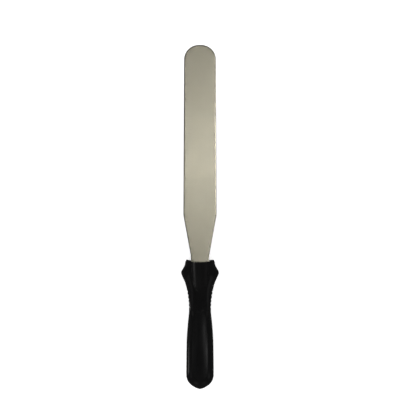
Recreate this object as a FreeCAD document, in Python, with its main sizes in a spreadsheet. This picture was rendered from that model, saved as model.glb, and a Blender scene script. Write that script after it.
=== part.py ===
import FreeCAD, Part
import Sketcher
import math
import os
from FreeCAD import Vector, Placement, Rotation

# Straight palette knife: a ground steel blade whose flat tang is moulded into a
# one-piece plastic handle.
#
# Both pieces are drawn in the knife's own design frame:
#   X  across the blade,
#   Y  along the knife, 0 where the blade leaves the handle, + towards the tip,
#   Z  through the blade's thickness, 0 on its middle plane.
# Their Placement then lays the knife down as it rests on a table, on the ridges
# of the finger guard and on the tip of the blade, with the origin under the
# middle of its bounding box.

doc = FreeCAD.newDocument("palette_knife")

# ---------------------------------------------------------------- dimensions
sheet = doc.addObject("Spreadsheet::Sheet", "dims")
sheet.Label = "dims"
_row = [0]


def dim(alias, value, note=""):
    """One driving dimension in millimetres or degrees, in a cell of its own."""
    _row[0] += 1
    r = str(_row[0])
    sheet.set("A" + r, note or alias)
    sheet.set("B" + r, repr(float(value)))
    sheet.setAlias("B" + r, alias)
    return float(value)


def calc(alias, formula, note=""):
    """A cell worked out from others."""
    _row[0] += 1
    r = str(_row[0])
    sheet.set("A" + r, note or alias)
    sheet.set("B" + r, "=" + formula)
    sheet.setAlias("B" + r, alias)


# blade
blade_length = dim("blade_length", 255.0, "blade, from the handle to the tip")
tip_half = dim("tip_half", 18.6, "half width where the round of the tip begins")
tip_crown = dim("tip_crown", 45.0, "radius of the tip's end, seen in plan")
tip_corner = dim("tip_corner", 17.2, "round from the tip's end into the long edges")
heel_half = dim("heel_half", 19.5, "half width at the heel")
heel_y = dim("heel_y", 54.6, "where the edges turn in to the shoulder")
heel_round = dim("heel_round", 4.0, "rounding of the heel corner")
neck_half = dim("neck_half", 10.75, "half width of the parallel neck")
neck_y = dim("neck_y", 8.1, "where the shoulder taper meets the neck")
step_half = dim("step_half", 11.05, "half width at the foot of the taper")
stock = dim("stock", 1.4, "thickness of the steel at neck and tang")
tip_thick = dim("tip_thick", 0.9, "thickness after grinding, at the tip")
grind_y = dim("grind_y", 10.0, "where the ground faces start")
# tang
tang_shoulder = dim("tang_shoulder", 5.0, "depth of the full neck width inside the handle")
tang_half = dim("tang_half", 8.0, "half width of the tang behind its shoulder")
tang_end_half = dim("tang_end_half", 6.0, "half width of the tang near its end")
tang_length = dim("tang_length", 104.0, "how far the tang reaches into the handle")
tang_hole = dim("tang_hole", 3.0, "radius of the three key holes")
hole_first = dim("hole_first", 22.0, "first key hole behind the handle's front")
hole_pitch = dim("hole_pitch", 34.0, "pitch of the key holes")
# handle: thumb scoops and grip panels
scoop_level = dim("scoop_level", 10.15, "height of the thumb scoop's floor where it starts to rise")
scoop_front = dim("scoop_front", 11.03, "height of the floor just before the front edge")
scoop_radius = dim("scoop_radius", 39.0, "hollow of the thumb scoop across the handle")
scoop_turn = dim("scoop_turn", -22.0, "where the floor starts to rise")
scoop_end = dim("scoop_end", -40.0, "end of the rising floor's arc, above the surface")
scoop_sweep = dim("scoop_sweep", 45.0, "radius of that rise")
panel_neck = dim("panel_neck", 8.4, "height of the grip panel where it leaves the waist")
panel_mid = dim("panel_mid", 10.93, "height of the grip panel half way")
panel_end = dim("panel_end", 11.2, "height of the grip panel at the butt")
panel_radius = dim("panel_radius", 44.0, "crown of the grip panel across the handle")
panel_from = dim("panel_from", -55.0, "start of the grip panel's profile")
panel_to = dim("panel_to", -142.0, "end of the grip panel's profile")
wing_x = dim("wing_x", 10.0, "inner edge of the guard's sloping flats")
wing_z = dim("wing_z", 12.5, "height of the flats there")
wing_slope = dim("wing_slope", 0.75, "fall of the flats per mm outwards")
mouth_radius = dim("mouth_radius", 55.0, "hollow of the handle's front end in plan")
mouth_floor = dim("mouth_floor", -0.05, "deepest point of that hollow")
rib_radius = dim("rib_radius", 1.9, "radius of the small side flutes")
rib_depth = dim("rib_depth", 0.55, "depth of the side flutes")
rib_first = dim("rib_first", -35.2, "first side flute")
rib_pitch = dim("rib_pitch", 4.5, "pitch of the side flutes")

# Stations of the handle: y, half width, half thickness of an ellipse.
STATIONS = [
    ("mouth", 2.4, 15.3, 13.9),
    ("front", 1.4, 16.6, 14.05),
    ("lip", -0.8, 17.4, 14.15),
    ("collar", -3.4, 17.8, 14.1),
    ("flare_a", -6.0, 19.0, 13.95),
    ("flare_b", -8.6, 20.45, 13.75),
    ("flare_c", -11.0, 21.85, 13.5),
    ("wing", -12.7, 22.25, 13.4),
    ("wing_b", -14.7, 21.85, 13.3),
    ("fall_a", -17.3, 20.8, 13.15),
    ("fall_b", -20.8, 19.2, 12.95),
    ("fall_c", -24.5, 17.6, 12.75),
    ("fall_d", -28.5, 16.35, 12.45),
    ("fall_e", -32.5, 15.45, 11.95),
    ("throat_a", -37.0, 14.65, 11.15),
    ("throat_b", -42.0, 13.93, 9.95),
    ("waist_a", -47.5, 13.33, 8.75),
    ("waist_b", -53.5, 13.0, 8.0),
    ("arch_a", -58.5, 12.9, 8.55),
    ("arch_b", -64.0, 13.4, 10.15),
    ("grip_a", -72.0, 14.25, 10.85),
    ("grip_b", -82.0, 15.05, 11.5),
    ("grip_c", -94.0, 15.7, 12.15),
    ("grip_d", -107.0, 15.93, 12.68),
    ("grip_e", -120.0, 16.08, 12.9),
    ("grip_f", -129.5, 16.17, 12.7),
    ("butt_a", -134.0, 16.12, 12.1),
    ("butt_b", -137.2, 15.55, 11.35),
    ("butt_c", -140.2, 14.4, 10.3),
    ("butt_d", -143.0, 12.35, 8.9),
    ("butt_e", -145.4, 9.65, 7.15),
    ("butt_f", -147.3, 6.75, 5.25),
    ("butt_g", -148.7, 3.95, 3.3),
    ("butt_h", -149.6, 1.2, 1.15),
]
for name, y, hw, ht in STATIONS:
    dim("sta_" + name + "_y", y, "station " + name)
    dim("sta_" + name + "_w", hw, "half width")
    dim("sta_" + name + "_z", ht, "half thickness")

# How the knife lies: tilt about X, tip down, and the origin's place
rest_tilt = dim("rest_tilt", -2.5887, "tilt of the knife as it rests, in degrees")
rest_shift = dim("rest_shift", -52.63, "moves the box's middle to the origin")
rest_lift = dim("rest_lift", 11.967, "height of the blade's middle plane at y = 0")

doc.recompute()


# ------------------------------------------------------------------- helpers
def plane(body, role):
    return [f for f in body.Origin.OriginFeatures if f.Role == role][0]


def new_sketch(body, name, role, offset=None):
    """A sketch on one of the body's own origin planes; offset is an expression
    for the distance along the plane's normal."""
    sk = body.newObject("Sketcher::SketchObject", name)
    sk.Label = name
    sk.AttachmentSupport = [(plane(body, role), "")]
    sk.MapMode = "FlatFace"
    if offset:
        sk.setExpression("AttachmentOffset.Base.z", offset)
    return sk


def bind(sk, kind, *args):
    """A dimensional constraint whose value follows an expression (the last arg)."""
    expr = args[-1]
    index = sk.addConstraint(Sketcher.Constraint(kind, *args[:-1]))
    sk.setExpression("Constraints[%d]" % index, expr)
    return index


def place_point(sk, geo, pos, x_expr, y_expr, x, y):
    """Fixes a point of the sketch by two signed distances from the origin."""
    if x_expr is None:
        sk.addConstraint(Sketcher.Constraint("PointOnObject", geo, pos, -2))
    else:
        bind(sk, "DistanceX", -1, 1, geo, pos, x, x_expr)
    if y_expr is None:
        sk.addConstraint(Sketcher.Constraint("PointOnObject", geo, pos, -1))
    else:
        bind(sk, "DistanceY", -1, 1, geo, pos, y, y_expr)


def polygon(sk, points):
    """A closed polygon; points are (x, y, x expression, y expression)."""
    n = len(points)
    ids = []
    for i in range(n):
        a, b = points[i], points[(i + 1) % n]
        ids.append(
            sk.addGeometry(
                Part.LineSegment(Vector(a[0], a[1], 0), Vector(b[0], b[1], 0)), False
            )
        )
    for i in range(n):
        sk.addConstraint(
            Sketcher.Constraint("Coincident", ids[i], 2, ids[(i + 1) % n], 1)
        )
    for i in range(n):
        x, y, ex, ey = points[i]
        place_point(sk, ids[i], 1, ex, ey, x, y)
    return ids


def circle(sk, x, y, r, ex, ey, er):
    g = sk.addGeometry(Part.Circle(Vector(x, y, 0), Vector(0, 0, 1), r), False)
    place_point(sk, g, 3, ex, ey, x, y)
    bind(sk, "Radius", g, r, er)
    return g


def tang_outline(sk, front_y, front_expr):
    """The tang's plan inside the handle, with a round end, from front_y back."""
    end_c = -(tang_length - tang_end_half)
    A = Vector(neck_half, front_y, 0)
    B = Vector(neck_half, -tang_shoulder, 0)
    C = Vector(tang_half, -tang_shoulder - (neck_half - tang_half), 0)
    D = Vector(tang_end_half, end_c, 0)
    pts = [A, B, C, D]
    right = [
        sk.addGeometry(Part.LineSegment(pts[i], pts[i + 1]), False) for i in range(3)
    ]
    arc = sk.addGeometry(
        Part.ArcOfCircle(
            Part.Circle(Vector(0, end_c, 0), Vector(0, 0, 1), tang_end_half),
            math.pi,
            2 * math.pi,
        ),
        False,
    )
    mirror = [Vector(-p.x, p.y, 0) for p in pts]
    left = [
        sk.addGeometry(Part.LineSegment(mirror[i + 1], mirror[i]), False)
        for i in range(3)
    ]
    c = Sketcher.Constraint
    for i in range(2):
        sk.addConstraint(c("Coincident", right[i], 2, right[i + 1], 1))
        sk.addConstraint(c("Coincident", left[i], 1, left[i + 1], 2))
    sk.addConstraint(c("Coincident", right[2], 2, arc, 2))
    sk.addConstraint(c("Coincident", left[2], 1, arc, 1))
    fe = front_expr
    place_point(sk, right[0], 1, "dims.neck_half", fe, neck_half, front_y)
    place_point(sk, left[0], 2, "-dims.neck_half", fe, -neck_half, front_y)
    place_point(sk, right[1], 1, "dims.neck_half", "-dims.tang_shoulder", neck_half, -tang_shoulder)
    place_point(sk, left[1], 2, "-dims.neck_half", "-dims.tang_shoulder", -neck_half, -tang_shoulder)
    step = "-dims.tang_shoulder-(dims.neck_half-dims.tang_half)"
    place_point(sk, right[2], 1, "dims.tang_half", step, C.x, C.y)
    place_point(sk, left[2], 2, "-dims.tang_half", step, -C.x, C.y)
    end = "-(dims.tang_length-dims.tang_end_half)"
    place_point(sk, arc, 3, None, end, 0, end_c)
    bind(sk, "Radius", arc, tang_end_half, "dims.tang_end_half")
    sk.addConstraint(c("Horizontal", arc, 1, arc, 3))
    sk.addConstraint(c("Horizontal", arc, 2, arc, 3))
    return right, left


# --------------------------------------------------------------------- blade
blade = doc.addObject("PartDesign::Body", "blade")
blade.Label = "blade"

plan = new_sketch(blade, "blade_plan", "XY_Plane")
tip_c = blade_length - tip_crown
# The tip's end is a shallow arc; the long edges run from it down to the heel.
calc("tip_side", "blade_length-tip_crown+sqrt(tip_crown^2-tip_half^2)", "where that arc meets the edges")
doc.recompute()
tip_side = tip_c + math.sqrt(tip_crown**2 - tip_half**2)
T = Vector(tip_half, tip_side, 0)
touch = math.atan2(tip_side - tip_c, tip_half)
tip = plan.addGeometry(
    Part.ArcOfCircle(
        Part.Circle(Vector(0, tip_c, 0), Vector(0, 0, 1), tip_crown),
        touch,
        math.pi - touch,
    ),
    False,
)
K = Vector(heel_half, heel_y, 0)
S = Vector(step_half, neck_y + 0.4, 0)
N = Vector(neck_half, neck_y, 0)
edge_r = plan.addGeometry(Part.LineSegment(K, T), False)
edge_l = plan.addGeometry(
    Part.LineSegment(Vector(-T.x, T.y, 0), Vector(-K.x, K.y, 0)), False
)
sh_r = plan.addGeometry(Part.LineSegment(S, K), False)
sh_l = plan.addGeometry(
    Part.LineSegment(Vector(-K.x, K.y, 0), Vector(-S.x, S.y, 0)), False
)
st_r = plan.addGeometry(Part.LineSegment(N, S), False)
st_l = plan.addGeometry(
    Part.LineSegment(Vector(-S.x, S.y, 0), Vector(-N.x, N.y, 0)), False
)
right, left = tang_outline(plan, neck_y, "dims.neck_y")
C_ = Sketcher.Constraint
place_point(plan, edge_r, 2, "dims.tip_half", "dims.tip_side", T.x, T.y)
place_point(plan, edge_l, 1, "-dims.tip_half", "dims.tip_side", -T.x, T.y)
plan.addConstraint(C_("Coincident", tip, 1, edge_r, 2))
plan.addConstraint(C_("Coincident", tip, 2, edge_l, 1))
bind(plan, "Radius", tip, tip_crown, "dims.tip_crown")
place_point(plan, edge_r, 1, "dims.heel_half", "dims.heel_y", K.x, K.y)
place_point(plan, edge_l, 2, "-dims.heel_half", "dims.heel_y", -K.x, K.y)
plan.addConstraint(C_("Coincident", sh_r, 2, edge_r, 1))
plan.addConstraint(C_("Coincident", sh_l, 1, edge_l, 2))
place_point(plan, sh_r, 1, "dims.step_half", "dims.neck_y+0.4", S.x, S.y)
place_point(plan, sh_l, 2, "-dims.step_half", "dims.neck_y+0.4", -S.x, S.y)
plan.addConstraint(C_("Coincident", st_r, 2, sh_r, 1))
plan.addConstraint(C_("Coincident", st_l, 1, sh_l, 2))
plan.addConstraint(C_("Coincident", st_r, 1, right[0], 1))
plan.addConstraint(C_("Coincident", st_l, 2, left[0], 2))

blank = blade.newObject("PartDesign::Pad", "blank")
blank.Profile = plan
blank.Midplane = True
blank.setExpression("Length", "dims.stock")
doc.recompute()



def upright_edges(shape, x, y):
    """Names of the edges that stand square to the blade at (+x, y) and (-x, y)."""
    found = []
    for i, e in enumerate(shape.Edges):
        a, b = e.Vertexes[0].Point, e.Vertexes[-1].Point
        if (
            abs(abs(a.x) - x) < 1e-3
            and abs(a.y - y) < 1e-3
            and abs(a.x - b.x) < 1e-6
            and abs(a.y - b.y) < 1e-6
        ):
            found.append("Edge%d" % (i + 1))
    return found


# Corners of the tip, then those of the heel where the shoulder starts.
corners = blade.newObject("PartDesign::Fillet", "tip_corners")
corners.Base = (blank, upright_edges(blank.Shape, tip_half, tip_side))
corners.setExpression("Radius", "dims.tip_corner")
doc.recompute()
heel = blade.newObject("PartDesign::Fillet", "heel_corners")
heel.Base = (corners, upright_edges(corners.Shape, heel_half, heel_y))
heel.setExpression("Radius", "dims.heel_round")
doc.recompute()

# Ground faces: a long shallow wedge off each side, from the neck to the tip.
grind_sk = new_sketch(blade, "grind_profile", "YZ_Plane")
half, thin = stock / 2, tip_thick / 2
far = blade_length + 5.0
end_z = thin - (half - thin) * 5.0 / (blade_length - grind_y)
end_expr = "dims.tip_thick/2-(dims.stock-dims.tip_thick)/2*5/(dims.blade_length-dims.grind_y)"
for sgn, pre in ((1, ""), (-1, "-")):
    polygon(
        grind_sk,
        [
            (grind_y, sgn * half, "dims.grind_y", pre + "(dims.stock/2)"),
            (far, sgn * end_z, "dims.blade_length+5", pre + "(" + end_expr + ")"),
            (far, sgn * (half + 2), "dims.blade_length+5", pre + "(dims.stock/2+2)"),
            (grind_y, sgn * (half + 2), "dims.grind_y", pre + "(dims.stock/2+2)"),
        ],
    )
grind = blade.newObject("PartDesign::Pocket", "ground_faces")
grind.Profile = grind_sk
grind.Midplane = True
grind.setExpression("Length", "6*dims.heel_half")
doc.recompute()

# Key holes: the plastic runs through them and locks the tang.
keys = new_sketch(blade, "key_holes", "XY_Plane")
for k in range(3):
    circle(
        keys,
        0,
        -(hole_first + k * hole_pitch),
        tang_hole,
        None,
        "-(dims.hole_first+%d*dims.hole_pitch)" % k,
        "dims.tang_hole",
    )
holes = blade.newObject("PartDesign::Pocket", "key_hole_cut")
holes.Profile = keys
holes.Midplane = True
holes.setExpression("Length", "3*dims.stock")
blade.Tip = holes
doc.recompute()

# -------------------------------------------------------------------- handle
handle = doc.addObject("PartDesign::Body", "handle")
handle.Label = "handle"

# The form is lofted as its upper half, from half ellipses that stand on the
# moulding's parting plane, and mirrored below once its upper side is finished.
rings = []
for name, y, hw, ht in STATIONS:
    sk = new_sketch(
        handle, "ring_" + name, "XZ_Plane", "-dims.sta_" + name + "_y"
    )
    g = sk.addGeometry(
        Part.ArcOfEllipse(Part.Ellipse(Vector(0, 0, 0), hw, ht), 0, math.pi), False
    )
    sk.exposeInternalGeometry(g)
    base = sk.addGeometry(Part.LineSegment(Vector(-hw, 0, 0), Vector(hw, 0, 0)), False)
    sk.addConstraint(C_("Coincident", g, 3, -1, 1))
    sk.addConstraint(C_("Horizontal", 1))
    bind(sk, "Distance", 1, 2 * hw, "2*dims.sta_" + name + "_w")
    bind(sk, "Distance", 2, 2 * ht, "2*dims.sta_" + name + "_z")
    sk.addConstraint(C_("PointOnObject", g, 1, -1))
    sk.addConstraint(C_("PointOnObject", g, 2, -1))
    sk.addConstraint(C_("Coincident", g, 2, base, 1))
    sk.addConstraint(C_("Coincident", g, 1, base, 2))
    rings.append(sk)
doc.recompute()

# One loft for each stretch between the form's own corner lines: the finger
# guard up to its widest point, the throat, the grip, and the butt.
names = [n for n, _, _, _ in STATIONS]
lofts = []
for label, first, last in (
    ("guard_form", "mouth", "wing"),
    ("throat_form", "wing", "waist_b"),
    ("grip_form", "waist_b", "butt_a"),
    ("butt_form", "butt_a", "butt_h"),
):
    span = rings[names.index(first) : names.index(last) + 1]
    loft = handle.newObject("PartDesign::AdditiveLoft", label)
    loft.Profile = span[0]
    loft.Sections = span[1:]
    loft.Ruled = False
    loft.Closed = False
    doc.recompute()
    lofts.append(loft)

# Thumb scoop: hollow across the handle, running out where the throat narrows.
scoop_sk = new_sketch(handle, "scoop_profile", "YZ_Plane")
y_f, y_t, y_e = 6.0, scoop_turn, scoop_end
lean = math.atan2(scoop_front - scoop_level, y_f - y_t)
sweep_c = Vector(
    y_t - scoop_sweep * math.sin(lean), scoop_level + scoop_sweep * math.cos(lean), 0
)
z_e = sweep_c.y - math.sqrt(scoop_sweep**2 - (y_e - sweep_c.x) ** 2)
z_top = scoop_level + 14
floor_line = scoop_sk.addGeometry(
    Part.LineSegment(Vector(y_f, scoop_front, 0), Vector(y_t, scoop_level, 0)), False
)
a_end = math.atan2(z_e - sweep_c.y, y_e - sweep_c.x)
a_turn = math.atan2(scoop_level - sweep_c.y, y_t - sweep_c.x)
rise_arc = scoop_sk.addGeometry(
    Part.ArcOfCircle(
        Part.Circle(sweep_c, Vector(0, 0, 1), scoop_sweep), a_end, a_turn
    ),
    False,
)
s1 = scoop_sk.addGeometry(Part.LineSegment(Vector(y_e, z_e, 0), Vector(y_e, z_top, 0)), False)
s2 = scoop_sk.addGeometry(Part.LineSegment(Vector(y_e, z_top, 0), Vector(y_f, z_top, 0)), False)
s3 = scoop_sk.addGeometry(
    Part.LineSegment(Vector(y_f, z_top, 0), Vector(y_f, scoop_front, 0)), False
)
scoop_sk.addConstraint(C_("Tangent", floor_line, 2, rise_arc, 2))
scoop_sk.addConstraint(C_("Coincident", s1, 1, rise_arc, 1))
scoop_sk.addConstraint(C_("Coincident", s2, 1, s1, 2))
scoop_sk.addConstraint(C_("Coincident", s3, 1, s2, 2))
scoop_sk.addConstraint(C_("Coincident", s3, 2, floor_line, 1))
place_point(scoop_sk, floor_line, 1, "6", "dims.scoop_front", y_f, scoop_front)
place_point(scoop_sk, floor_line, 2, "dims.scoop_turn", "dims.scoop_level", y_t, scoop_level)
bind(scoop_sk, "Radius", rise_arc, scoop_sweep, "dims.scoop_sweep")
bind(scoop_sk, "DistanceX", -1, 1, rise_arc, 1, y_e, "dims.scoop_end")
scoop_sk.addConstraint(C_("Vertical", s1))
bind(scoop_sk, "DistanceY", -1, 1, s2, 1, z_top, "dims.scoop_level+14")
scoop_sk.addConstraint(C_("Horizontal", s2))
scoop_sk.addConstraint(C_("Vertical", s3))
ax = scoop_sk.addGeometry(
    Part.LineSegment(
        Vector(y_e, scoop_level + scoop_radius, 0),
        Vector(y_f, scoop_level + scoop_radius, 0),
    ),
    True,
)
place_point(scoop_sk, ax, 1, "dims.scoop_end", "dims.scoop_level+dims.scoop_radius", y_e, scoop_level + scoop_radius)
place_point(scoop_sk, ax, 2, "6", "dims.scoop_level+dims.scoop_radius", y_f, scoop_level + scoop_radius)
scoop = handle.newObject("PartDesign::Groove", "thumb_scoop")
scoop.Profile = scoop_sk
scoop.ReferenceAxis = (scoop_sk, ["Axis0"])
scoop.Midplane = True
scoop.Angle = 84.0
doc.recompute()

# Grip panel: one long gentle crown that flattens the round form.
panel_sk = new_sketch(handle, "panel_profile", "YZ_Plane")
y_a, y_b = panel_from, panel_to
z_a, z_m, z_b = panel_neck, panel_mid, panel_end
arc_geo = Part.Arc(
    Vector(y_a, z_a, 0), Vector((y_a + y_b) / 2, z_m, 0), Vector(y_b, z_b, 0)
)
pa = panel_sk.addGeometry(arc_geo, False)
e1 = panel_sk.addGeometry(Part.LineSegment(Vector(y_b, z_b, 0), Vector(y_b, 26, 0)), False)
e2 = panel_sk.addGeometry(Part.LineSegment(Vector(y_b, 26, 0), Vector(y_a, 26, 0)), False)
e3 = panel_sk.addGeometry(Part.LineSegment(Vector(y_a, 26, 0), Vector(y_a, z_a, 0)), False)


def end_near(sk, geo, x, y):
    """Which end of an arc lies at (x, y): 1 for its start, 2 for its end."""
    g = sk.Geometry[geo]
    s = g.StartPoint
    return 1 if (s - Vector(x, y, 0)).Length < 1e-3 else 2


pos_a = end_near(panel_sk, pa, y_a, z_a)
pos_b = end_near(panel_sk, pa, y_b, z_b)
panel_sk.addConstraint(C_("Coincident", e1, 1, pa, pos_b))
panel_sk.addConstraint(C_("Coincident", e2, 1, e1, 2))
panel_sk.addConstraint(C_("Coincident", e3, 1, e2, 2))
panel_sk.addConstraint(C_("Coincident", e3, 2, pa, pos_a))
place_point(panel_sk, e1, 1, "dims.panel_to", "dims.panel_end", y_b, z_b)
place_point(panel_sk, e1, 2, "dims.panel_to", "26", y_b, 26)
place_point(panel_sk, e3, 1, "dims.panel_from", "26", y_a, 26)
place_point(panel_sk, e3, 2, "dims.panel_from", "dims.panel_neck", y_a, z_a)
calc(
    "panel_chord",
    "sqrt((panel_to-panel_from)^2+(panel_end-panel_neck)^2)",
    "chord of the grip panel's profile",
)
calc("panel_rise", "panel_mid-(panel_neck+panel_end)/2", "bulge of that profile")
doc.recompute()
bind(
    panel_sk,
    "Radius",
    pa,
    panel_sk.Geometry[pa].Radius,
    "dims.panel_chord^2/(8*dims.panel_rise)+dims.panel_rise/2",
)
pax = panel_sk.addGeometry(
    Part.LineSegment(
        Vector(y_b, panel_end - panel_radius, 0), Vector(y_a, panel_end - panel_radius, 0)
    ),
    True,
)
place_point(panel_sk, pax, 1, "dims.panel_to", "dims.panel_end-dims.panel_radius", y_b, panel_end - panel_radius)
place_point(panel_sk, pax, 2, "dims.panel_from", "dims.panel_end-dims.panel_radius", y_a, panel_end - panel_radius)
panel = handle.newObject("PartDesign::Groove", "grip_panel")
panel.Profile = panel_sk
panel.ReferenceAxis = (panel_sk, ["Axis0"])
panel.Midplane = True
panel.Angle = 60.0
doc.recompute()

# Sloping flats on the finger guard's wings, on the upper side, left and right.
wing_sk = new_sketch(handle, "wing_flats", "XZ_Plane", "-4")
for sgn, pre in ((1, ""), (-1, "-")):
    out = wing_x + 16.0
    polygon(
        wing_sk,
        [
            (sgn * wing_x, wing_z, pre + "dims.wing_x", "dims.wing_z"),
            (
                sgn * out,
                wing_z - 16 * wing_slope,
                pre + "(dims.wing_x+16)",
                "dims.wing_z-16*dims.wing_slope",
            ),
            (sgn * out, wing_z + 8, pre + "(dims.wing_x+16)", "dims.wing_z+8"),
            (sgn * wing_x, wing_z + 8, pre + "dims.wing_x", "dims.wing_z+8"),
        ],
    )
flats = handle.newObject("PartDesign::Pocket", "guard_flats")
flats.Profile = wing_sk
flats.Length = 32.0
doc.recompute()
v_before = panel.Shape.Volume
if flats.Shape.Volume > v_before - 1.0:
    flats.Reversed = True
    doc.recompute()

# The lower half, with the same scoop, panel and flats.
other = handle.newObject("PartDesign::Mirrored", "lower_side")
other.Originals = lofts + [scoop, panel, flats]
other.MirrorPlane = (plane(handle, "XY_Plane"), [""])
handle.Tip = other
doc.recompute()

# Hollow front end.
mouth_sk = new_sketch(handle, "mouth_plan", "XY_Plane")
circle(
    mouth_sk,
    0,
    mouth_floor + mouth_radius,
    mouth_radius,
    None,
    "dims.mouth_floor+dims.mouth_radius",
    "dims.mouth_radius",
)
mouth = handle.newObject("PartDesign::Pocket", "hollow_mouth")
mouth.Profile = mouth_sk
mouth.Midplane = True
mouth.Length = 60.0
doc.recompute()

# Side flutes of the throat: five on each side.
flute_sk = new_sketch(handle, "side_flutes", "XY_Plane")


def half_width(y):
    for (n0, y0, w0, _), (n1, y1, w1, _) in zip(STATIONS, STATIONS[1:]):
        if y1 <= y <= y0:
            return w0 + (w1 - w0) * (y0 - y) / (y0 - y1)
    raise ValueError(y)


for k in range(5):
    y = rib_first - k * rib_pitch
    w_here = dim("flute_w_%s" % "abcde"[k], round(half_width(y), 3), "half width at a side flute")
    doc.recompute()
    for sgn, pre in ((1, ""), (-1, "-")):
        x = w_here + rib_radius - rib_depth
        circle(
            flute_sk,
            sgn * x,
            y,
            rib_radius,
            pre + "(dims.flute_w_%s+dims.rib_radius-dims.rib_depth)" % "abcde"[k],
            "dims.rib_first-%d*dims.rib_pitch" % k,
            "dims.rib_radius",
        )
flutes = handle.newObject("PartDesign::Pocket", "side_flute_cut")
flutes.Profile = flute_sk
flutes.Midplane = True
flutes.Length = 40.0
doc.recompute()

# The space the tang fills, with the three plastic keys left standing in it.
cavity_sk = new_sketch(handle, "tang_space", "XY_Plane")
r2, l2 = tang_outline(cavity_sk, 6.0, "6")
front_line = cavity_sk.addGeometry(
    Part.LineSegment(Vector(-neck_half, 6, 0), Vector(neck_half, 6, 0)), False
)
cavity_sk.addConstraint(C_("Coincident", front_line, 1, l2[0], 2))
cavity_sk.addConstraint(C_("Coincident", front_line, 2, r2[0], 1))
for k in range(3):
    circle(
        cavity_sk,
        0,
        -(hole_first + k * hole_pitch),
        tang_hole,
        None,
        "-(dims.hole_first+%d*dims.hole_pitch)" % k,
        "dims.tang_hole",
    )
cavity = handle.newObject("PartDesign::Pocket", "tang_space_cut")
cavity.Profile = cavity_sk
cavity.Midplane = True
cavity.setExpression("Length", "dims.stock")
handle.Tip = cavity
doc.recompute()

# ---------------------------------------------------------- lay the knife down
for body in (blade, handle):
    body.Placement = Placement(
        Vector(0, rest_shift, rest_lift), Rotation(Vector(1, 0, 0), rest_tilt)
    )
    body.setExpression("Placement.Base.y", "dims.rest_shift")
    body.setExpression("Placement.Base.z", "dims.rest_lift")
    body.setExpression("Placement.Rotation.Angle", "dims.rest_tilt")
doc.recompute()

# ---------------------------------------------------------------- check, write
failed = []
for o in doc.Objects:
    bad = [s for s in o.State if s in ("Invalid", "Error")]
    if bad:
        failed.append("%s is %s" % (o.Name, bad))
if failed:
    raise RuntimeError("; ".join(failed))

os.makedirs("parts", exist_ok=True)
for body in (blade, handle):
    s = body.Shape
    if s.isNull() or not s.isValid() or len(s.Solids) != 1:
        raise RuntimeError(
            "%s: null %s, valid %s, solids %d"
            % (body.Label, s.isNull(), s.isValid(), len(s.Solids))
        )
    bb = s.BoundBox
    com = s.Solids[0].CenterOfMass
    print(
        "%s volume %.1f mm3, box (%.3f %.3f %.3f) (%.3f %.3f %.3f), centre of mass %.2f %.2f %.2f"
        % (
            body.Label, s.Volume, bb.XMin, bb.YMin, bb.ZMin, bb.XMax, bb.YMax, bb.ZMax,
            com.x, com.y, com.z,
        )
    )
    s.exportStep("parts/%s.step" % body.Label)
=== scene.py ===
import math

import bpy
import numpy as np
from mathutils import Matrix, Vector


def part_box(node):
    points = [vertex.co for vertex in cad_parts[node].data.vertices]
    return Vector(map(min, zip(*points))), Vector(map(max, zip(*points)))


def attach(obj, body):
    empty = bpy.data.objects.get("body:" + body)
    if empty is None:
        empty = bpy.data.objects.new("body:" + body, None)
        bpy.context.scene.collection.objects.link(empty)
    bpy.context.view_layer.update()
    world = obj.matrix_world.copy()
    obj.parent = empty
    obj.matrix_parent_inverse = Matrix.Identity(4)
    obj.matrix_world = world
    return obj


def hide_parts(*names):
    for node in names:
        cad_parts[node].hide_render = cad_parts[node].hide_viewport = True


# Looks of a straight palette knife: a ground steel blade and a moulded black handle.
# Everything is worked out in the knife's own design frame in millimetres (X across,
# Y along, 0 where the blade leaves the handle and + to the tip, Z through the blade),
# then laid down in the row frame in metres, where the knife rests on its guard and tip.

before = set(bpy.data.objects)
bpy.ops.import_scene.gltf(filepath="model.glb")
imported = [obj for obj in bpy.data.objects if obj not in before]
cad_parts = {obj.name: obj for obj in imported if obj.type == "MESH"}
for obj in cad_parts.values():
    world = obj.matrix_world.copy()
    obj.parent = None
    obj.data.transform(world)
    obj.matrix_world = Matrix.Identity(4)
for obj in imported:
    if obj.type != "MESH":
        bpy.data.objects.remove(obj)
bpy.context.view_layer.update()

scene = bpy.context.scene
MM = 0.001
TILT = math.radians(-2.5887)
blade_lo, blade_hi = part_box("blade")
handle_lo, handle_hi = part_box("handle")
# The design frame's origin in the row frame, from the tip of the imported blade.
C, S = math.cos(TILT), math.sin(TILT)
SHIFT = blade_hi.y / MM - (255.0 * C - 0.45 * S)
LIFT = -(255.0 * S - 0.45 * C)


def to_row(p):
    """Design frame (mm) to row frame (m); p is an (n, 3) array."""
    p = np.asarray(p, float)
    out = np.empty_like(p)
    out[:, 0] = p[:, 0]
    out[:, 1] = p[:, 1] * C - p[:, 2] * S + SHIFT
    out[:, 2] = p[:, 1] * S + p[:, 2] * C + LIFT
    return out * MM


def spot(x, y, z):
    """One design point as a row-frame vector."""
    return Vector(to_row([[x, y, z]])[0])


def make_mesh(name, verts, faces, smooth=True):
    mesh = bpy.data.meshes.new(name)
    mesh.from_pydata([tuple(v) for v in to_row(verts)], [], faces)
    mesh.update()
    mesh.validate()
    if smooth:
        mesh.shade_smooth()
    obj = bpy.data.objects.new(name, mesh)
    scene.collection.objects.link(obj)
    return obj


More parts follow.
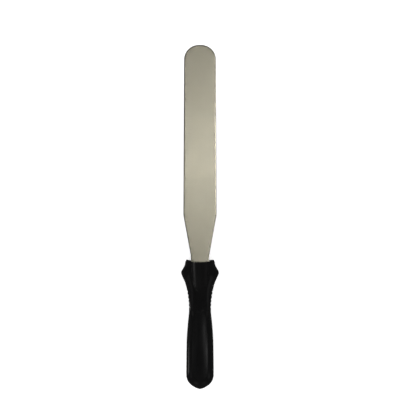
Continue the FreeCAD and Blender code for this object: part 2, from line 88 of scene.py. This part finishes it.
# ------------------------------------------------------------------- materials
class Nodes:
    """Short hand for building a material's node tree."""

    def __init__(self, name):
        self.mat = bpy.data.materials.new(name)
        self.mat.use_nodes = True
        self.tree = self.mat.node_tree
        self.bsdf = self.tree.nodes["Principled BSDF"]

    def new(self, kind, **values):
        n = self.tree.nodes.new(kind)
        for k, v in values.items():
            if hasattr(n, k):
                setattr(n, k, v)
            else:
                n.inputs[k].default_value = v
        return n

    def link(self, a, out, b, inp):
        self.tree.links.new(a.outputs[out], b.inputs[inp])

    def coords(self, scale=(1, 1, 1), rotation=(0, 0, 0)):
        tc = self.new("ShaderNodeTexCoord")
        mp = self.new("ShaderNodeMapping")
        mp.inputs["Scale"].default_value = scale
        mp.inputs["Rotation"].default_value = rotation
        self.link(tc, "Object", mp, "Vector")
        return mp

    def noise(self, mp, scale, detail=4.0, rough=0.55):
        n = self.new("ShaderNodeTexNoise")
        n.inputs["Scale"].default_value = scale
        n.inputs["Detail"].default_value = detail
        n.inputs["Roughness"].default_value = rough
        self.link(mp, "Vector", n, "Vector")
        return n

    def remap(self, src, out, lo, hi, a, b):
        r = self.new("ShaderNodeMapRange")
        r.inputs["From Min"].default_value = lo
        r.inputs["From Max"].default_value = hi
        r.inputs["To Min"].default_value = a
        r.inputs["To Max"].default_value = b
        self.link(src, out, r, "Value")
        return r

    def math(self, op, a, a_out, b=None, b_out=None, value=None):
        m = self.new("ShaderNodeMath")
        m.operation = op
        self.link(a, a_out, m, 0)
        if b is not None:
            self.link(b, b_out, m, 1)
        if value is not None:
            m.inputs[1].default_value = value
        return m


def steel():
    """Ground stainless: fine grinding lines across the blade, faint rubbed patches."""
    n = Nodes("ground_steel")
    b = n.bsdf
    b.inputs["Metallic"].default_value = 1.0
    b.inputs["Anisotropic"].default_value = 0.0
    b.inputs["IOR"].default_value = 2.5
    grain = n.noise(n.coords((60, 2600, 60)), 1.0, 3.0, 0.6)
    lines = n.noise(n.coords((25, 900, 25)), 1.0, 2.0, 0.5)
    cloud = n.noise(n.coords((1, 1, 1)), 38.0, 3.0, 0.5)
    # colour: warm grey with a very slight unevenness
    ramp = n.new("ShaderNodeMix")
    ramp.data_type = "RGBA"
    ramp.inputs[6].default_value = (0.570, 0.536, 0.416, 1)
    ramp.inputs[7].default_value = (0.632, 0.596, 0.468, 1)
    mixed = n.math("ADD", n.math("MULTIPLY", grain, "Fac", value=0.55), 0,
                   n.math("MULTIPLY", cloud, "Fac", value=0.45), 0)
    fac = n.remap(mixed, 0, 0.36, 0.64, 0.0, 1.0)
    n.link(fac, 0, ramp, 0)
    n.link(ramp, 2, b, "Base Color")
    rough = n.remap(cloud, "Fac", 0.3, 0.7, 0.19, 0.23)
    rough2 = n.remap(grain, "Fac", 0.3, 0.7, -0.02, 0.02)
    total = n.math("ADD", rough, 0, rough2, 0)
    n.link(total, 0, b, "Roughness")
    h = n.math("ADD", n.math("MULTIPLY", grain, "Fac", value=0.6), 0,
               n.math("MULTIPLY", lines, "Fac", value=0.8), 0)
    bump = n.new("ShaderNodeBump")
    bump.inputs["Strength"].default_value = 0.25
    bump.inputs["Distance"].default_value = 0.00003
    n.link(h, 0, bump, "Height")
    n.link(bump, "Normal", b, "Normal")
    return n.mat


def black_plastic():
    """Glossy black polypropylene: soft moulding ripple, a fine grain, light wear."""
    n = Nodes("black_plastic")
    b = n.bsdf
    b.inputs["Metallic"].default_value = 0.0
    b.inputs["IOR"].default_value = 1.49
    ripple = n.noise(n.coords((1, 0.45, 1)), 90.0, 2.0, 0.5)
    grain = n.noise(n.coords((1, 1, 1)), 2600.0, 2.0, 0.5)
    cloud = n.noise(n.coords((1, 0.6, 1)), 55.0, 4.0, 0.6)
    mix = n.new("ShaderNodeMix")
    mix.data_type = "RGBA"
    mix.inputs[6].default_value = (0.0016, 0.0016, 0.0017, 1)
    mix.inputs[7].default_value = (0.0026, 0.0026, 0.0026, 1)
    n.link(n.remap(cloud, "Fac", 0.35, 0.65, 0, 1), 0, mix, 0)
    n.link(mix, 2, b, "Base Color")
    r1 = n.remap(cloud, "Fac", 0.3, 0.7, 0.14, 0.19)
    r2 = n.remap(grain, "Fac", 0.3, 0.7, -0.015, 0.015)
    n.link(n.math("ADD", r1, 0, r2, 0), 0, b, "Roughness")
    b1 = n.new("ShaderNodeBump")
    b1.inputs["Strength"].default_value = 0.18
    b1.inputs["Distance"].default_value = 0.0002
    n.link(ripple, "Fac", b1, "Height")
    b2 = n.new("ShaderNodeBump")
    b2.inputs["Strength"].default_value = 0.08
    b2.inputs["Distance"].default_value = 0.00003
    n.link(grain, "Fac", b2, "Height")
    n.link(b1, "Normal", b2, "Normal")
    n.link(b2, "Normal", b, "Normal")
    return n.mat


# ------------------------------------------------------------------- handle
STATIONS = [
    (2.4, 15.3, 13.9), (1.4, 16.6, 14.05), (-0.8, 17.4, 14.15), (-3.4, 17.8, 14.1),
    (-6.0, 19.0, 13.95), (-8.6, 20.45, 13.75), (-11.0, 21.85, 13.5), (-12.7, 22.25, 13.4),
    (-14.7, 21.85, 13.3), (-17.3, 20.8, 13.15), (-20.8, 19.2, 12.95), (-24.5, 17.6, 12.75),
    (-28.5, 16.35, 12.45), (-32.5, 15.45, 11.95), (-37.0, 14.65, 11.15), (-42.0, 13.93, 9.95),
    (-47.5, 13.33, 8.75), (-53.5, 13.0, 8.1), (-56.8, 12.9, 7.8), (-57.6, 12.88, 7.98),
    (-58.6, 12.9, 8.5), (-64.0, 13.4, 10.15),
    (-72.0, 14.25, 10.85), (-82.0, 15.05, 11.5), (-94.0, 15.7, 12.15), (-107.0, 15.93, 12.68),
    (-120.0, 16.08, 12.9), (-129.5, 16.17, 12.7), (-134.0, 16.12, 12.1), (-137.2, 15.55, 11.35),
    (-140.2, 14.4, 10.3), (-143.0, 12.35, 8.9), (-145.4, 9.65, 7.15), (-147.3, 6.75, 5.25),
    (-148.7, 3.95, 3.3), (-149.6, 1.2, 1.15),
]


def hermite(xs, ys, x):
    """Monotone cubic through the stations (xs rising)."""
    xs, ys = np.asarray(xs, float), np.asarray(ys, float)
    h = np.diff(xs)
    d = np.diff(ys) / h
    m = np.empty_like(ys)
    m[1:-1] = np.where(
        d[:-1] * d[1:] > 0,
        3 * (h[:-1] + h[1:]) / ((2 * h[1:] + h[:-1]) / np.where(d[:-1] == 0, 1, d[:-1])
                                + (h[1:] + 2 * h[:-1]) / np.where(d[1:] == 0, 1, d[1:])),
        0.0,
    )
    m[0], m[-1] = d[0], d[-1]
    i = np.clip(np.searchsorted(xs, x) - 1, 0, len(h) - 1)
    t = (x - xs[i]) / h[i]
    t = np.clip(t, 0, 1)
    return (
        ys[i] * (1 + 2 * t) * (1 - t) ** 2
        + m[i] * h[i] * t * (1 - t) ** 2
        + ys[i + 1] * t * t * (3 - 2 * t)
        + m[i + 1] * h[i] * t * t * (t - 1)
    )


_st = np.array(STATIONS)[::-1]


def half_width(y):
    return hermite(_st[:, 0], _st[:, 1], y)


def half_thick(y):
    return hermite(_st[:, 0], _st[:, 2], y)


def smin(a, b, k):
    """The lower of two, rounded over k where they cross."""
    h = np.maximum(k - np.abs(a - b), 0.0) / k
    return np.minimum(a, b) - h * h * k / 4


# outline of the scoop seen from above: near-parallel sides and a rounded foot
U_HALF, U_TAPER, U_FOOT, U_CORNER = 9.9, 0.022, -35.8, 8.6


def inside_u(x, y):
    """Distance of (x, y) inside the scoop's outline, negative outside."""
    ax = np.abs(x)
    half = U_HALF + U_TAPER * np.minimum(y, 2.0)
    # rounded rectangle open at the front
    qx = ax - (half - U_CORNER)
    qy = (U_FOOT + U_CORNER) - y
    corner = np.hypot(np.maximum(qx, 0.0), np.maximum(qy, 0.0))
    flat = np.minimum(np.maximum(qx, qy), 0.0)
    return U_CORNER - corner - flat


COVE_RUN, COVE_R = 5.4, 21.0


def scoop_height(x, y):
    """Height of the scoop's surface: a nearly flat floor in a soft cove and a steep rim."""
    d = inside_u(x, y)
    cove = np.maximum(COVE_RUN - d, 0.0) ** 2 / (2 * COVE_R)
    rim = 1.35 * np.maximum(0.85 - d, 0.0) ** 2
    sweep = (y + 13.0) ** 2 / 1150.0
    return 10.45 + sweep + x * x / 260.0 + cove + rim


P_FROM, P_TO, P_NECK, P_MID, P_END, P_R = -55.0, -142.0, 8.4, 10.93, 11.2, 44.0
_chord = math.hypot(P_TO - P_FROM, P_END - P_NECK)
_rise = P_MID - (P_NECK + P_END) / 2
_pr = _chord**2 / (8 * _rise) + _rise / 2
# centre of the panel profile's arc, below the chord's middle
_ux, _uz = (P_TO - P_FROM) / _chord, (P_END - P_NECK) / _chord
_pcy = (P_FROM + P_TO) / 2 - _uz * (_pr - _rise)
_pcz = (P_NECK + P_END) / 2 + _ux * (_pr - _rise)


def panel_top(y):
    return _pcz + np.sqrt(np.maximum(_pr**2 - (y - _pcy) ** 2, 0.0))


CREASE = 0.16
RIBS = [-35.2 - 4.5 * k for k in range(5)]
RIB_R, RIB_D = 1.9, 0.55


def section(theta, y):
    """Distance from the handle's axis to its surface, in direction theta at y."""
    c, s = np.abs(np.cos(theta)), np.abs(np.sin(theta))
    w, t = half_width(y), half_thick(y)
    r = 1.0 / np.sqrt((c / w) ** 2 + (s / t) ** 2)
    big = 60.0
    # flats of the guard's wings
    flat = 20.0 / (s + 0.75 * c)
    r = smin(r, flat, 1.2)
    # thumb scoop: where this direction meets the height field, by fixed point steps
    y = np.broadcast_to(y, r.shape)
    use = (y > U_FOOT - 1.0) & (s > 0.5)
    cut = np.full(r.shape, big)
    if use.any():
        su, cu, yu, ru = s[use], c[use], y[use], r[use].copy()
        lo, hi = np.full(su.shape, 4.0), ru + 1.5
        # the surface crosses the ray once between the axis and the outside
        for _ in range(22):
            mid = (lo + hi) / 2
            above = mid * su > scoop_height(mid * cu, yu)
            hi = np.where(above, mid, hi)
            lo = np.where(above, lo, mid)
        cut[use] = np.where(lo > ru + 1.4, big, hi)
    r = smin(r, cut, CREASE)
    # grip panel, a long crown about a line below the handle
    cz = P_END - P_R
    rad = panel_top(y) - cz
    disc = rad * rad - (cz * c) ** 2
    cut = np.where(disc > 0, cz * s + np.sqrt(np.maximum(disc, 0.0)), big)
    cut = np.where((y < P_FROM) & (s > 0.2), cut, big)
    r = smin(r, cut, CREASE)
    # side flutes
    for yk in RIBS:
        wk = half_width(np.array([yk]))[0]
        reach = RIB_R**2 - (y - yk) ** 2
        x = wk + RIB_R - RIB_D - np.sqrt(np.maximum(reach, 0.0))
        lim = np.where((reach > 0) & (c > 0.5), x / np.maximum(c, 1e-6), big)
        r = smin(r, lim, 0.12)
    return r


MOUTH_R, MOUTH_Y = 55.0, -0.05


def mouth(x):
    """The hollow front end's plan: y where the handle ends at x."""
    return MOUTH_Y + MOUTH_R - np.sqrt(MOUTH_R**2 - np.minimum(np.abs(x), 40.0) ** 2)


def build_handle():
    n_theta = 288
    theta = (np.arange(n_theta) + 0.5) / n_theta * 2 * math.pi
    # rows along the handle: fine where the form turns quickly
    ys = [0.0]
    y = 0.0
    while y > -149.6:
        if y > -40:
            step = 0.30
        elif y > -56:
            step = 0.28
        elif y > -132:
            step = 0.6
        elif y > -146:
            step = 0.35
        else:
            step = 0.16
        y = max(y - step, -149.6)
        ys.append(y)
    ys = np.array(ys)
    front = -3.0  # rows ahead of this follow the hollow mouth
    rows = []
    lip = 0.9  # radius of the rounded front edge
    # side surface, from just behind the rounded lip to the butt
    for y in ys:
        yy = np.full(n_theta, y)
        if y > front:
            # slide the rows forward so that the first lies along the mouth's edge
            k = (y - front) / (0.0 - front)
            for _ in range(6):
                r = section(theta, np.minimum(yy, 2.39))
                edge = mouth(r * np.cos(theta)) - lip
                yy = front + (edge - front) * k
        r = section(theta, yy)
        rows.append(np.column_stack([r * np.cos(theta), yy, r * np.sin(theta)]))
    side = rows
    # rounded lip: a quarter turn from the side surface into the end face
    first = side[0]
    nrm = np.column_stack([first[:, 0] / np.maximum(half_width(first[:, 1]) ** 2, 1e-6),
                           np.zeros(n_theta),
                           first[:, 2] / np.maximum(half_thick(first[:, 1]) ** 2, 1e-6)])
    nrm /= np.linalg.norm(nrm, axis=1)[:, None]
    lips = []
    for a in (75, 60, 45, 30, 15, 0):
        q = math.radians(90 - a)
        p = first - nrm * lip * (1 - math.cos(q))
        p[:, 1] = first[:, 1] + lip * math.sin(q)
        lips.append(p)
    lips = lips[::-1]  # from the face outwards to the side
    # end face: rings closing to the middle, following the mouth's hollow
    outer = lips[0]
    caps = []
    for f in (0.985, 0.95, 0.88, 0.76, 0.6, 0.42, 0.22, 0.06):
        p = outer.copy()
        p[:, 0] *= f
        p[:, 2] *= f
        p[:, 1] = mouth(p[:, 0]) + (outer[:, 1] - mouth(outer[:, 0])) * f
        caps.append(p)
    grid = caps[::-1] + lips + side
    verts = np.vstack(grid)
    n_rows = len(grid)
    faces = []
    for i in range(n_rows - 1):
        a0, b0 = i * n_theta, (i + 1) * n_theta
        for j in range(n_theta):
            k = (j + 1) % n_theta
            faces.append((a0 + j, b0 + j, b0 + k, a0 + k))
    # close both ends with a fan about a middle point
    mid_front = len(verts)
    verts = np.vstack([verts, [[0.0, mouth(np.array([0.0]))[0], 0.0]], [[0.0, -149.75, 0.0]]])
    for j in range(n_theta):
        k = (j + 1) % n_theta
        faces.append((mid_front, j, k))
        last = (n_rows - 1) * n_theta
        faces.append((mid_front + 1, last + k, last + j))
    obj = make_mesh("handle_moulding", verts, faces)
    return obj


# -------------------------------------------------------------------- blade
L_BLADE = 255.0
TIP_HALF, TIP_CROWN, TIP_CORNER = 18.6, 45.0, 17.2
HEEL = (19.5, 54.6)
STEP = (11.05, 8.5)
NECK = (10.75, 8.1)


def arc_points(cx, cy, r, a0, a1, n):
    a = np.linspace(a0, a1, n)
    return np.column_stack([cx + r * np.cos(a), cy + r * np.sin(a)])


def rounded(p, a, b, r, n):
    """Points rounding the corner at p between neighbours a and b, from a's side."""
    p, a, b = (np.asarray(v, float) for v in (p, a, b))
    u, v = a - p, b - p
    u /= np.linalg.norm(u)
    v /= np.linalg.norm(v)
    half = math.acos(max(-1.0, min(1.0, float(u @ v)))) / 2
    cut = r / math.tan(half)
    centre = p + (u + v) / np.linalg.norm(u + v) * r / math.sin(half)
    s, e = p + u * cut - centre, p + v * cut - centre
    a0, a1 = math.atan2(s[1], s[0]), math.atan2(e[1], e[0])
    while a1 - a0 > math.pi:
        a1 -= 2 * math.pi
    while a1 - a0 < -math.pi:
        a1 += 2 * math.pi
    return arc_points(centre[0], centre[1], r, a0, a1, n)


def blade_outline():
    """Right half of the plan from the tip's middle to the tang's end, then mirrored."""
    cy = L_BLADE - TIP_CROWN
    side = (TIP_HALF, cy + math.sqrt(TIP_CROWN**2 - TIP_HALF**2))
    # corner of the tip: a circle touching the crown arc inside and the long edge
    d = np.array(HEEL) - np.array(side)
    d /= np.linalg.norm(d)
    nin = np.array([d[1], -d[0]])  # points to the blade's middle
    if nin[0] > 0:
        nin = -nin
    base = np.array(side) + nin * TIP_CORNER
    rel = base - np.array([0.0, cy])
    # |base + d*t - crown centre| = TIP_CROWN - TIP_CORNER
    bq = float(rel @ d)
    cq = float(rel @ rel) - (TIP_CROWN - TIP_CORNER) ** 2
    t_run = -bq - math.sqrt(bq * bq - cq)
    cc = base + d * t_run
    if cc[1] < cy:
        cc = base + d * (-bq + math.sqrt(bq * bq - cq))
    t = cc - nin * TIP_CORNER
    join = math.atan2(cc[1] - cy, cc[0])
    touch = math.atan2(-nin[1], -nin[0])
    pts = [arc_points(0, cy, TIP_CROWN, math.pi / 2, join, 8)[:-1],
           arc_points(cc[0], cc[1], TIP_CORNER, join, touch, 72)]
    edge = np.linspace(0, 1, 60)[1:-1, None]
    heel_arc = rounded(HEEL, t, STEP, 4.0, 12)
    pts.append(t + (heel_arc[0] - t) * edge)
    pts.append(heel_arc)
    step_arc = rounded(STEP, HEEL, NECK, 1.2, 6)
    e2 = np.linspace(0, 1, 24)[1:-1, None]
    pts.append(heel_arc[-1] + (step_arc[0] - heel_arc[-1]) * e2)
    pts.append(step_arc)
    tang = [
        (NECK[0], 7.6), (NECK[0], 4.0), (NECK[0], 1.0), (NECK[0], -2.0), (NECK[0], -5.0),
        (8.0, -7.75), (7.6, -26.0), (7.1, -50.0), (6.5, -76.0), (6.0, -98.0),
    ]
    pts.append(np.array(tang))
    pts.append(arc_points(0, -98.0, 6.0, 0, -math.pi / 2, 14)[1:])
    right = np.vstack(pts)
    left = right[1:-1][::-1] * np.array([-1.0, 1.0])
    return np.vstack([right, left])  # clockwise from the tip, seen from above


GRIND_Y, STOCK, TIP_T = 10.0, 1.4, 0.9


def half_stock(y):
    k = np.clip((y - GRIND_Y) / (L_BLADE - GRIND_Y), 0, 1)
    return STOCK / 2 - (STOCK - TIP_T) / 2 * k


def build_blade():
    ring = blade_outline()
    n = len(ring)
    # inward normals of the outline
    d = np.roll(ring, -1, axis=0) - np.roll(ring, 1, axis=0)
    d /= np.linalg.norm(d, axis=1)[:, None]
    inward = np.column_stack([d[:, 1], -d[:, 0]])
    # the outline runs clockwise, so its inside is on the right of travel
    hs = half_stock(ring[:, 1])
    # edge profile from the rim inwards: small round, shallow bevel, flat face
    profile = [(0.0, 0.30), (0.02, 0.235), (0.07, 0.18), (0.14, 0.145), (0.5, 0.085),
               (0.9, 0.03), (1.2, 0.0), (1.7, 0.0)]
    loops_top = []
    for off, drop in profile:
        p = ring + inward * off
        loops_top.append(np.column_stack([p, hs - drop]))
    steps = profile
    verts = []
    for l in loops_top:
        verts.append(l)
    for l in loops_top:
        m = l.copy()
        m[:, 2] *= -1
        verts.append(m)
    verts = np.vstack(verts)
    k = len(steps)
    faces = []

    def quad(a, b, flip):
        for i in range(n):
            j = (i + 1) % n
            f = (a * n + i, a * n + j, b * n + j, b * n + i)
            faces.append(f[::-1] if flip else f)

    for i in range(k - 1):
        quad(i, i + 1, False)
        quad(k + i, k + i + 1, True)
    quad(k, 0, False)
    # flat faces: strips joining the right side to the left at the same place
    half = (n) // 2  # index of the tang's end on the outline
    for base, flip in (((k - 1) * n, False), ((2 * k - 1) * n, True)):
        for i in range(half):
            a, b = base + i, base + i + 1
            c2, d2 = base + (n - i - 1) % n, base + (n - i) % n
            if i == 0:
                f = (a, b, c2)
            elif b == c2:
                f = (a, b, d2)
            else:
                f = (a, b, c2, d2)
            faces.append(f[::-1] if flip else f)
    obj = make_mesh("blade_steel", verts, faces)
    return obj


handle = build_handle()
blade = build_blade()
for o in (handle, blade):
    bm_mesh = o.data
    bpy.context.view_layer.objects.active = o
    import bmesh

    bm = bmesh.new()
    bm.from_mesh(bm_mesh)
    bmesh.ops.recalc_face_normals(bm, faces=bm.faces)
    bm.to_mesh(bm_mesh)
    bm.free()
    bm_mesh.shade_smooth()

weigh = blade.modifiers.new("weighted", "WEIGHTED_NORMAL")
weigh.mode = "FACE_AREA"
weigh.weight = 100

handle.data.materials.append(black_plastic())
blade.data.materials.append(steel())

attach(handle, "root")
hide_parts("handle")
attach(blade, "root")
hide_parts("blade")

# ------------------------------------------------------------------- stage
floor_mesh = bpy.data.meshes.new("floor")
R = 40.0
floor_mesh.from_pydata([(-R, -R, 0), (R, -R, 0), (R, R, 0), (-R, R, 0)], [], [(0, 1, 2, 3)])
floor = bpy.data.objects.new("floor", floor_mesh)
scene.collection.objects.link(floor)
fm = bpy.data.materials.new("floor_white")
fm.use_nodes = True
fb = fm.node_tree.nodes["Principled BSDF"]
fb.inputs["Base Color"].default_value = (0.86, 0.86, 0.86, 1)
fb.inputs["Roughness"].default_value = 0.9
fb.inputs["Specular IOR Level"].default_value = 0.0
fb.inputs["Emission Color"].default_value = (1, 1, 1, 1)
fb.inputs["Emission Strength"].default_value = 0.56
floor_mesh.materials.append(fm)
floor.visible_glossy = False
floor.visible_shadow = False

world = bpy.data.worlds.new("studio")
scene.world = world
world.use_nodes = True
bg = world.node_tree.nodes["Background"]
bg.inputs["Color"].default_value = (1.0, 1.0, 1.0, 1)
# white all round, but black flags keep it out of the gloss, as in a product tent
path = world.node_tree.nodes.new("ShaderNodeLightPath")
flag = world.node_tree.nodes.new("ShaderNodeMapRange")
flag.inputs["From Min"].default_value = 0.0
flag.inputs["From Max"].default_value = 1.0
flag.inputs["To Min"].default_value = 1.0
flag.inputs["To Max"].default_value = 0.07
world.node_tree.links.new(path.outputs["Is Glossy Ray"], flag.inputs["Value"])
world.node_tree.links.new(flag.outputs[0], bg.inputs["Strength"])
world.cycles.sampling_method = "NONE"


only_blade = bpy.data.collections.new("lit_blade")
only_handle = bpy.data.collections.new("lit_handle")
only_blade.objects.link(blade)
only_handle.objects.link(handle)


def disc(name, group, lean_x, lean_y, width, radiance):
    """A far round softbox, its centre leaning from straight above the knife by
    lean_x degrees to the right and lean_y degrees towards the tip. Studio flags
    keep it on one group."""
    data = bpy.data.lights.new(name, "SUN")
    data.angle = math.radians(width)
    data.energy = radiance * math.pi * math.sin(math.radians(width / 2)) ** 2
    light = bpy.data.objects.new(name, data)
    scene.collection.objects.link(light)
    ax, ay = math.radians(lean_x), math.radians(lean_y)
    v = (math.sin(ax) * math.cos(ay), math.sin(ay), math.cos(ax) * math.cos(ay))
    row = Vector((v[0], v[1] * C - v[2] * S, v[1] * S + v[2] * C))
    light.rotation_euler = (-row).to_track_quat("-Z", "Y").to_euler()
    light.light_linking.receiver_collection = group
    return light


# over the blade: a soft band of light across it with a long fade to the tip
for i, d in enumerate([
    (11, 2, 3, 27.5), (11, 4, 3, 12.0), (11, 6, 3, 5.2), (3, 2, 3, 4.3), (-1, 2, 3, 3.95),
    (11, 8, 3, 3.8), (-5, 3, 3, 1.9), (-1, 8, 3, 1.6), (3, 8, 3, 0.7), (-6, -8, 12, 0.55),
    (10, -8, 12, 0.17), (2, -8, 12, 0.13),
]):
    disc("blade_band_%02d" % i, only_blade, *d)
# round the blade: tent walls that it mirrors when it is seen from low down
for i in range(8):
    az = math.radians(45 * i + 20)
    v = Vector((math.cos(az) * 0.92, math.sin(az) * 0.92, 0.39)).normalized()
    lean_y = math.degrees(math.asin(v.y))
    lean_x = math.degrees(math.atan2(v.x, v.z))
    disc("blade_wall_%d" % i, only_blade, lean_x, lean_y, 44, 0.40 + 0.10 * math.cos(az))
# behind the handle, towards the tip: dim boxes that round off its dips
for i, d in enumerate([(12, 13, 8, 0.30), (8, 30, 16, 0.16), (-14, 34, 16, 0.10)]):
    disc("grip_rear_%d" % i, only_handle, *d)
# over the handle: one graded softbox to the right, a dim one to the left
for i, d in enumerate([
    (20, -5, 4, 1.25), (23, -5, 4, 1.1), (14, -1, 4, 0.7), (11, -1, 4, 0.41), (17, -1, 4, 0.36),
    (14, -5, 4, 0.35), (8, -1, 4, 0.27), (30, -5, 6, 0.24), (17, -5, 4, 0.22), (-25, -5, 6, 0.19),
    (5, -1, 4, 0.1), (1, -1, 4, 0.09), (-20, -5, 6, 0.07), (-11, -1, 6, 0.07), (-15, -5, 6, 0.06),
]):
    disc("grip_soft_%02d" % i, only_handle, *d)
# low at the left: light thrown back by the table
for i, d in enumerate([(-104, -9, 6, 1.7), (-97, -9, 6, 1.3), (-90, -5, 6, 0.3), (-68, -9, 6, 0.11)]):
    disc("grip_low_%d" % i, only_handle, *d)

# round the handle: dim tent walls low down, which show its form from the side
for i in range(8):
    az = math.radians(45 * i + 22.5)
    v = Vector((math.cos(az) * 0.93, math.sin(az) * 0.93, 0.36)).normalized()
    lean_y = math.degrees(math.asin(v.y))
    lean_x = math.degrees(math.atan2(v.x, v.z))
    disc("grip_wall_%d" % i, only_handle, lean_x, lean_y, 22, 0.13 if i % 2 else 0.08)

# ------------------------------------------------------------------- camera
cam_data = bpy.data.cameras.new("camera")
cam = bpy.data.objects.new("camera", cam_data)
scene.collection.objects.link(cam)
cam_data.sensor_width = 36.0
cam_data.lens = 100.0
dist = 400 * 1.176 / 2 / (cam_data.sensor_width / 2 / cam_data.lens)
cam.location = spot(0, 72.6, 0.5 + dist)
cam.rotation_euler = (TILT, 0, 0)
cam_data.clip_end = 100
scene.camera = cam

scene.view_settings.view_transform = "Standard"
scene.view_settings.look = "None"
scene.view_settings.exposure = 0
scene.view_settings.gamma = 1
